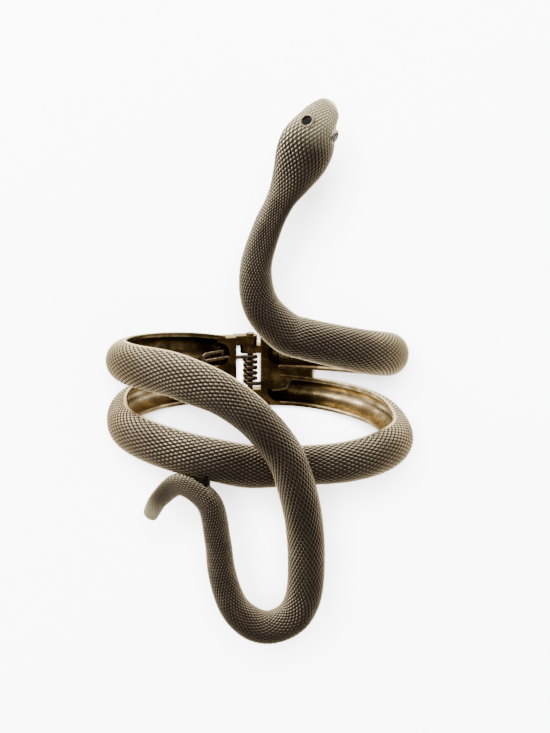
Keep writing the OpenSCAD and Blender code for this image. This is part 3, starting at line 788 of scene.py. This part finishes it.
def block_start(side):
    """Distance of a block's face from the pin, on the left (-1) or the right (1)."""
    return BLOCK_GAP / 2 - side * GAP_SHIFT


def inner_z(x):
    """Height of the oval's inside over the floor, at a distance x from the pin."""
    a, b = CUFF_W / 2 - BODY_T, CUFF_D / 2 - BODY_T
    return CUFF_D / 2 - b * (1 - (abs(x) / a) ** OVAL_POWER) ** (1 / OVAL_POWER)


def loft(name, sections):
    """Closed solid through sections with the same number of points each."""
    sections = np.asarray(sections)
    count, size = sections.shape[:2]
    grid = np.arange(count * size).reshape(count, size)
    faces = quads(np.hstack([grid, grid[:, :1]])).tolist()
    faces += [grid[0][::-1].tolist(), grid[-1].tolist()]
    return mesh_object(name, sections.reshape(-1, 3), faces)


def boolean(obj, other, operation):
    """Applies a boolean and removes the other solid."""
    turn_faces_out(obj.data)
    turn_faces_out(other.data)
    modifier = obj.modifiers.new("boolean", "BOOLEAN")
    modifier.operation = operation
    modifier.object = other
    modifier.solver = "EXACT"
    apply_modifiers(obj)
    bpy.data.objects.remove(other)


def apply_modifiers(obj):
    graph = bpy.context.evaluated_depsgraph_get()
    mesh = bpy.data.meshes.new_from_object(obj.evaluated_get(graph))
    obj.modifiers.clear()
    old = obj.data
    obj.data = mesh
    bpy.data.meshes.remove(old)


def block_section(x):
    """Outline of a hinge block across the arm, with round outer corners and a flat top on the oval."""
    half, top = HINGE_H / 2, inner_z(x) + BLOCK_PROUD
    left = [(-half + BLOCK_R - BLOCK_R * math.cos(a), BLOCK_R - BLOCK_R * math.sin(a))
            for a in np.linspace(0, math.pi / 2, 9)]
    right = [(-y, z) for y, z in reversed(left)]
    return [(x, y + hinge_y, z) for y, z in left + right + [(half, top), (-half, top)]]


def scoop(side, end):
    """Rounded end of a channel in a hinge block: sections that shrink towards the pin."""
    first, last = block_start(side) + END_WALL, block_start(side) + BLOCK_L
    wide = HINGE_BAND_W / 2 - WALL + 0.02
    deep = inner_z(last) - WALL - 0.1
    bend = np.linspace(0.12, math.pi / 2, 9)
    f = circle(32)
    sections = []
    for x in np.append(first + SCOOP_L * (1 - np.cos(bend)), last + 1):
        size = math.sqrt(max(0.0, 1 - max(0.0, (first + SCOOP_L - x) / SCOOP_L) ** 2))
        y = hinge_y + end * HINGE_RISE + wide * size * np.cos(f)
        z = inner_z(x) - deep * size * np.maximum(0, -np.sin(f)) + 3 * np.maximum(0, np.sin(f))
        sections.append(np.stack([np.full(len(f), x), y, z], -1))
    return loft("scoop", sections)


def bore():
    """Bar that cuts the pin's bore through the knuckles."""
    f, r = circle(48), PIN_D / 2 + PIN_FIT
    ring = np.stack([r * np.cos(f), 0 * f, pin_z + r * np.sin(f)], -1)
    return loft("bore", [ring + (0, y + hinge_y, 0) for y in (-HINGE_H, HINGE_H)])


def leg_hole(side, rise):
    """Bar that cuts the hole for a spring leg through a block's end wall."""
    f, r = circle(24), WIRE_R + LEG_FIT
    ring = np.stack([0 * f, rise + hinge_y + r * np.cos(f), LEG_Z + r * np.sin(f)], -1)
    return loft("hole", [ring + (x, 0, 0) for x in (1.0, block_start(side) + END_WALL + WALL)])


def knuckle(side, from_y, to_y):
    """Knuckle with the arm that joins it to its block, in one outline. The right side's reach past the
    pin."""
    r = KNUCKLE_D / 2
    arm = r * 0.8
    start = math.asin(0.8)
    if side > 0:
        f = np.linspace(math.pi / 2, 3 * math.pi / 2, 25)
        past = INNER_REACH - arm
        top = np.linspace(start, math.pi - start, 13)
        outline = [(r * math.cos(a), pin_z + r * math.sin(a)) for a in top]
        outline += [(arm * math.cos(a) - past, pin_z + arm * math.sin(a)) for a in f]
        outline += [(-x, 2 * pin_z - z) for x, z in outline[:13]]
    else:
        f = np.linspace(start, 2 * math.pi - start, 41)
        outline = [(r * math.cos(a), pin_z + r * math.sin(a)) for a in f]
    outline += [(block_start(side) + 0.6, pin_z - arm), (block_start(side) + 0.6, pin_z + arm)]
    return loft("knuckle", [[(x, y + hinge_y, z) for x, z in outline] for y in (from_y, to_y)])


def hinge_block(name, side, knuckle_from, knuckle_to, leg_rise):
    """Hinge block with its channels' ends, knuckles, bores and the hole for a spring leg."""
    block = loft(name, [block_section(block_start(side) + x) for x in np.linspace(0, BLOCK_L, 9)])
    for end in (-1, 1):
        boolean(block, scoop(side, end), "DIFFERENCE")
        low, high = knuckle_from, knuckle_to
        if end < 0:
            low, high = -min(knuckle_to + LOWER_ROOM, HINGE_H / 2), -knuckle_from - LOWER_ROOM
        boolean(block, knuckle(side, low, high), "UNION")
    boolean(block, bore(), "DIFFERENCE")
    boolean(block, leg_hole(side, leg_rise), "DIFFERENCE")
    bevel = block.modifiers.new("bevel", "BEVEL")
    bevel.width = BLOCK_BEVEL * MM
    bevel.segments = 3
    bevel.limit_method = "ANGLE"
    bevel.angle_limit = math.radians(38)
    bevel.harden_normals = False
    apply_modifiers(block)
    if side < 0:
        block.data.transform(Matrix.Diagonal((-1, 1, 1, 1)))
        block.data.flip_normals()
    block.data.polygons.foreach_set("use_smooth", [True] * len(block.data.polygons))
    block.data.set_sharp_from_angle(angle=math.radians(40))
    return block


def edge_at(rows, turns, edge):
    """Rise of a band's upper (1) or lower (-1) edge at turns on either side of the hinge."""
    r = rows_at(rows, np.linspace(0, 2, 41))
    order = np.argsort(abs(r[:, 0]))
    return np.interp(turns, abs(r[order, 0]), (r[:, 1] + edge * r[:, 3] / 2)[order])


def web(name, upper_rows, lower_rows, side):
    """Web that closes the wedge between an upper and a lower band, from the block to the slot, with a
    rounded edge at the slot."""
    overlap, front, rear = WALL / 2, WALL / 3, WALL * 1.7
    sections = []
    for k in range(25):
        turn = WEB_START + (SLOT_TURN - WEB_START) * k / 24
        top = edge_at(upper_rows, turn, -1) + overlap
        bottom = edge_at(lower_rows, turn, 1) - overlap
        rise = np.linspace(bottom, top, 7)
        pinch = 0.35 * (1 - fade(24 - k, 0, 2))
        low = place(side * turn, rise, front + pinch)
        high = place(side * turn, rise[::-1], rear - pinch)
        sections.append(np.concatenate([low, high]))
    obj = loft(name, sections)
    obj.data.set_sharp_from_angle(angle=math.radians(50))
    return obj


def leg_lip():
    """Cast lip that covers the right leg's upper wire, flush with the block's top."""
    edge_x, edge_y = np.transpose(LIP_EDGE)
    bend = 0.28 * LIP_BEVEL
    sections = []
    for x in np.linspace(edge_x[0], edge_x[-1], 33):
        y = np.interp(x, edge_x, edge_y)
        top, low = inner_z(x) + 0.02, inner_z(x) - LIP_T
        corners = [(LIP_FOOT, low), (y + LIP_BEVEL, low), (y + bend, low + bend), (y, low + LIP_BEVEL),
                   (y, top - LIP_BEVEL), (y + bend, top - bend), (y + LIP_BEVEL, top), (LIP_FOOT, top)]
        sections.append([(x, a + hinge_y, z) for a, z in corners])
    obj = loft("head_half_lip", sections)
    obj.data.set_sharp_from_angle(angle=math.radians(50))
    return obj


def bridge():
    """Flat bar of metal between the tail and the lower band, its sides round, flared into both."""
    middle = place(BRIDGE_TURN, -BRIDGE_DROP, CROSS_LIFT * 0.4)
    turn = math.radians(BRIDGE_TURN)
    across = np.array([math.cos(turn), 0, -math.sin(turn)])
    out = np.array([math.sin(turn), 0, math.cos(turn)])
    f = circle(32)
    sections = []
    for k in np.linspace(-1, 1, 17):
        r = BRIDGE_R * (0.86 + 0.3 * k * k)
        side = np.sign(np.cos(f)) * (BRIDGE_W / 2 - BRIDGE_R) + r * np.cos(f)
        ring = middle + across * side[:, None] + out * (r * np.sin(f))[:, None]
        sections.append(ring + (0, k * BRIDGE_L / 2, 0))
    return loft("tail_half_bridge", sections)


# Head

def eye_frame(side):
    """Middle of an eye's seat and its directions along the head, across and out."""
    u = station_back(head_rows, EYE_BACK)
    p, across, along, out, r = frames_at(head_rows, u)
    half, depth = r[3] / 2, r[4]
    angle = math.radians(EYE_ANGLE if side > 0 else 180 - EYE_ANGLE)
    up = unit(across * math.cos(angle) / half + out * math.sin(angle) / depth)
    ahead = unit(along - up * (along @ up))
    turn = math.radians(EYE_TURN)
    front = ahead * math.cos(turn) + np.cross(up, ahead) * side * math.sin(turn)
    seat = p + across * half * math.cos(angle) + out * depth * math.sin(angle)
    return seat, front, np.cross(up, front), up


def eye_rim(name, side):
    """Raised oval rim round an eye's stone, with its foot in the head."""
    middle, front, across, up = eye_frame(side)
    profile = [(2.9, -0.70), (2.6, 0.0), (2.3, 0.16), (1.8, 0.28), (1.3, 0.33), (0.8, 0.31), (0.4, 0.22),
               (0.25, 0.0), (0.25, -0.4)]
    f = circle(48)
    rings = []
    for widen, height in profile:
        a, b = (EYE_L + RIM_W * widen) / 2, (EYE_W + RIM_W * widen) / 2
        ring = front * (a * np.cos(f))[:, None] + across * (b * np.sin(f))[:, None]
        rings.append(middle + ring + up * height * EYE_T)
    grid = np.arange(len(rings) * len(f)).reshape(-1, len(f))
    faces = quads(np.hstack([grid, grid[:, :1]]))
    return mesh_object(name, np.concatenate(rings), faces)


# Spring

def spring():
    """Torsion spring as one tube: a looped leg, the coil round the pin and the other leg."""
    def leg(side, reach, lean):
        """Points of a leg from its free end to the coil, with its turn round the pin."""
        near, bend_r = block_start(side) + END_WALL + LEG_STUB, LEG_W / 2
        bend_x = reach - bend_r
        bend = np.radians(np.linspace(90, -90, 17))
        xs = np.concatenate([np.linspace(near, bend_x, 9)[:-1], bend_x + bend_r * np.cos(bend),
                             np.linspace(bend_x, near, 9)[1:], np.linspace(near, 0.5, 9)[1:]])
        ys = np.concatenate([np.full(8, COIL_HALF + LEG_W), COIL_HALF + bend_r + bend_r * np.sin(bend),
                             np.full(16, COIL_HALF)])
        ys = ys - lean * np.maximum(0, xs - near)
        zs = LEG_Z + np.maximum(0, inner_z(xs) - inner_z(near))
        return np.stack([side * xs, -side * ys, zs, np.zeros(len(xs))], -1)

    left, right = leg(-1, LEG_L, LEG_LEAN), leg(1, RIGHT_LEG_L, RIGHT_LEG_LEAN)[::-1]
    turned = np.linspace(0, 2 * math.pi * COILS, COILS * 40 + 1)
    share = turned / turned[-1]
    coil = np.stack([COIL_R * np.sin(turned), COIL_HALF * (1 - 2 * share), pin_z + COIL_R * np.cos(turned),
                     turned], -1)
    path = np.concatenate([left, coil, right])
    points = path[:, :3] + (0, hinge_y, 0)
    along = unit(np.gradient(points, axis=0))
    radial = np.stack([np.sin(path[:, 3]), np.zeros(len(path)), np.cos(path[:, 3])], -1)
    out = unit(radial - along * (along * radial).sum(-1, keepdims=True))
    across = np.cross(along, out)
    f = circle(16)
    tip = np.ones(len(path))
    tip[0] = tip[-1] = 0.7
    rings = [points[i] + WIRE_R * tip[i] * (across[i] * np.cos(f)[:, None] + out[i] * np.sin(f)[:, None])
             for i in range(len(path))]
    return loft("spring_wire", rings)


# Pieces of the tail half

tail_strand = strand("tail_half_strand", tail_rows, round_end=1.3, pale_end=9.0)
lower_left = strand("tail_half_lower_band", lower_left_rows)
left_block = hinge_block("tail_half_block", -1, HINGE_H / 2 - OUTER_KNUCKLE, HINGE_H / 2, COIL_HALF)
left_web = web("tail_half_web", upper_left_rows, lower_left_rows, -1)
tail_bridge = bridge()
for piece, materials in ((tail_strand, (scales, smooth_brass)), (lower_left, (scales, smooth_brass)),
                         (left_block, (smooth_brass,)), (left_web, (smooth_brass,)),
                         (tail_bridge, (bridge_shade_material(),))):
    dress(piece, "tail_body", "cast_brass", *materials)
    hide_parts("tail_half")

# Pieces of the head half

head_strand = strand("head_half_strand", head_rows, round_end=2.0, wide=HEAD_COLUMNS, pale_end=15.0)
lower_right = strand("head_half_lower_band", lower_right_rows)
right_block = hinge_block("head_half_block", 1, HINGE_H / 2 - OUTER_KNUCKLE - KNUCKLE_GAP - INNER_KNUCKLE,
                          HINGE_H / 2 - OUTER_KNUCKLE - KNUCKLE_GAP, -COIL_HALF)
right_web = web("head_half_web", upper_right_rows, lower_right_rows, 1)
right_lip = leg_lip()
left_rim = eye_rim("left_eye_rim", -1)
right_rim = eye_rim("right_eye_rim", 1)
for piece, materials in ((head_strand, (scales, smooth_brass)), (lower_right, (scales, smooth_brass)),
                         (right_block, (smooth_brass,)), (right_web, (smooth_brass,)),
                         (right_lip, (smooth_brass,)), (left_rim, (rubbed_rim,)),
                         (right_rim, (rubbed_rim,))):
    dress(piece, "head_body", "cast_brass", *materials)
    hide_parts("head_half")

# Spring, pin and stones

wire = spring()
wire.data.materials.append(wire_material())
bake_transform(wire)
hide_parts("hinge_spring")
node_materials = {"hinge_pin": pin_material(), "left_eye": stone_material()}
node_materials["right_eye"] = node_materials["left_eye"]
for name, material in node_materials.items():
    node = frame["nodes"][name]
    node.data.materials.clear()
    node.data.materials.append(material)
for name in ("tail_half", "head_half", "hinge_spring"):
    node = frame["nodes"][name]
    node.data.materials.clear()
    node.data.materials.append(smooth_brass)


# Floor, light and camera

def floor():
    size = 3000.0
    corners = [(-size, -size, 0), (size, -size, 0), (size, size, 0), (-size, size, 0)]
    obj = mesh_object("floor", corners, [(0, 1, 2, 3)])
    obj.data.materials.append(floor_material())
    obj.visible_glossy = False


def floor_light(name, direction, distance, size, power):
    """Square soft light for the floor and the shadows on it; lengths in metres, power in watts. The metal
    shows the studio's walls alone, so that no lamp is mirrored in it."""
    data = bpy.data.lights.new(name, "AREA")
    data.size = size
    data.energy = power
    obj = bpy.data.objects.new(name, data)
    obj.visible_glossy = False
    towards = Vector(direction).normalized()
    obj.location = towards * distance
    obj.rotation_euler = towards.to_track_quat("Z", "Y").to_euler()
    bpy.context.scene.collection.objects.link(obj)


def studio():
    """The room that the metal mirrors: dark overhead and brighter towards the floor, with a long low
    window past the head, round windows at the left and a small one overhead for glints on the scales."""
    overhead, below, fall = 0.09, 4.2, 2.0
    strip = 2.6
    windows = [((-0.45, 0.80, 0.30), 0.7, 80, 20), ((-0.80, 0.35, 0.49), 4.0, 26, 10),
               ((-0.52, 0.58, 0.63), 11.0, 10, 5)]
    world = bpy.data.worlds.new("studio")
    world.use_nodes = True
    tree = world.node_tree

    def math_node(operation, a, b=0.0):
        node = tree.nodes.new("ShaderNodeMath")
        node.operation = operation
        for socket, value in zip(node.inputs, (a, b)):
            if isinstance(value, bpy.types.NodeSocket):
                tree.links.new(value, socket)
            else:
                socket.default_value = value
        return node.outputs[0]

    direction = tree.nodes.new("ShaderNodeTexCoord").outputs["Generated"]
    parts = tree.nodes.new("ShaderNodeSeparateXYZ")
    tree.links.new(direction, parts.inputs[0])
    down = math_node("MULTIPLY", math_node("SUBTRACT", 1.0, parts.outputs["Z"]), 0.5)
    walls = math_node("ADD", math_node("MULTIPLY", math_node("POWER", down, fall), below), overhead)

    def ramp_node(value, low, high, strength=1.0):
        ramp = tree.nodes.new("ShaderNodeMapRange")
        ramp.interpolation_type = "SMOOTHSTEP"
        tree.links.new(value, ramp.inputs["Value"])
        ramp.inputs["From Min"].default_value = low
        ramp.inputs["From Max"].default_value = high
        ramp.inputs["To Max"].default_value = strength
        return ramp.outputs[0]

    from_low, to_high = ramp_node(parts.outputs["Z"], 0.10, 0.30), ramp_node(parts.outputs["Z"], 0.62, 0.44)
    ahead = ramp_node(parts.outputs["Y"], 0.15, 0.50, strip)
    light = math_node("ADD", walls, math_node("MULTIPLY", math_node("MULTIPLY", from_low, to_high), ahead))
    for towards, strength, edge, heart in windows:
        dot = tree.nodes.new("ShaderNodeVectorMath")
        dot.operation = "DOT_PRODUCT"
        tree.links.new(direction, dot.inputs[0])
        dot.inputs[1].default_value = Vector(towards).normalized()
        edge, heart = math.cos(math.radians(edge)), math.cos(math.radians(heart))
        light = math_node("ADD", light, ramp_node(dot.outputs["Value"], edge, heart, strength))
    background = tree.nodes["Background"]
    background.inputs["Color"].default_value = (1, 1, 1, 1)
    tree.links.new(light, background.inputs["Strength"])
    bpy.context.scene.world = world


def camera():
    """Camera at the photograph's angle: nearly over the front, leaning towards the head."""
    width_px, height_px = 550, 733
    focal_px = 2206
    centre_px = (260, 410)
    tilt, swing = math.radians(17), math.radians(5)
    distance = 0.620
    aim = Vector((0, (hinge_y - 2.6) * MM, CUFF_D / 2 * MM))
    back = Vector((-math.sin(swing) * math.cos(tilt), math.sin(tilt), math.cos(swing) * math.cos(tilt)))
    right = Vector((math.cos(swing), 0, math.sin(swing)))
    up = back.cross(right)
    aside, above = width_px / 2 - centre_px[0], centre_px[1] - height_px / 2
    forward = (-back * focal_px + right * aside + up * above).normalized()
    right = forward.cross(up).normalized()
    up = right.cross(forward)
    data = bpy.data.cameras.new("camera")
    data.lens = focal_px / height_px * data.sensor_width
    obj = bpy.data.objects.new("camera", data)
    obj.matrix_world = Matrix((right, up, -forward)).transposed().to_4x4()
    obj.matrix_world.translation = aim + back * distance
    bpy.context.scene.collection.objects.link(obj)
    bpy.context.scene.camera = obj


floor()
studio()
floor_light("key_light", (-0.12, 0.37, 1.0), 1.6, 0.35, 262)
floor_light("fill_light", (0.2, -0.1, 1.0), 1.6, 2.0, 58)
camera()
